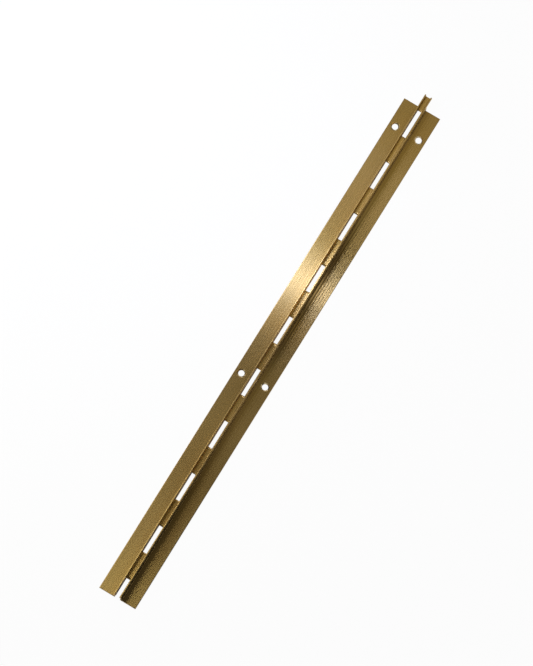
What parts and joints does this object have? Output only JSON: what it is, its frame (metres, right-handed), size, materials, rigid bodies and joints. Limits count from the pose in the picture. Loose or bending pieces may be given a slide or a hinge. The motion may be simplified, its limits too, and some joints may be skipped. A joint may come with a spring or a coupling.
{
  "type": "slotted mounting rail",
  "caption": "Straight brass rail: a shallow channel with a row of slots in its floor, raised between flat side leaves with countersunk screw holes, and a short tongue at one end.",
  "frame": {"origin": "centre of the rail's length and width, on the plane of the leaves' backs", "axes": "+Y along the rail towards the tongue, +X across to the right leaf, +Z out of the leaves' faces, the way the channel opens"},
  "size_m": [0.0334, 0.48, 0.012],
  "materials": {
    "brushed_brass": "brushed lengthwise, satin",
    "channel_brass": "drawn lengthwise, brighter on the rims"
  },
  "bodies": {
    "root": {"left_leaf": "brushed_brass", "right_leaf": "brushed_brass", "left_riser": "brushed_brass", "right_riser": "brushed_brass", "left_wall": "channel_brass", "right_wall": "channel_brass", "tongue_floor": "channel_brass", "floor_bridge_1": "channel_brass", "floor_bridge_2": "channel_brass", "floor_bridge_3": "channel_brass", "floor_bridge_4": "channel_brass", "floor_bridge_5": "channel_brass", "floor_bridge_6": "channel_brass", "floor_bridge_7": "channel_brass", "floor_bridge_8": "channel_brass", "floor_bridge_9": "channel_brass"}
  },
  "joints": []
}
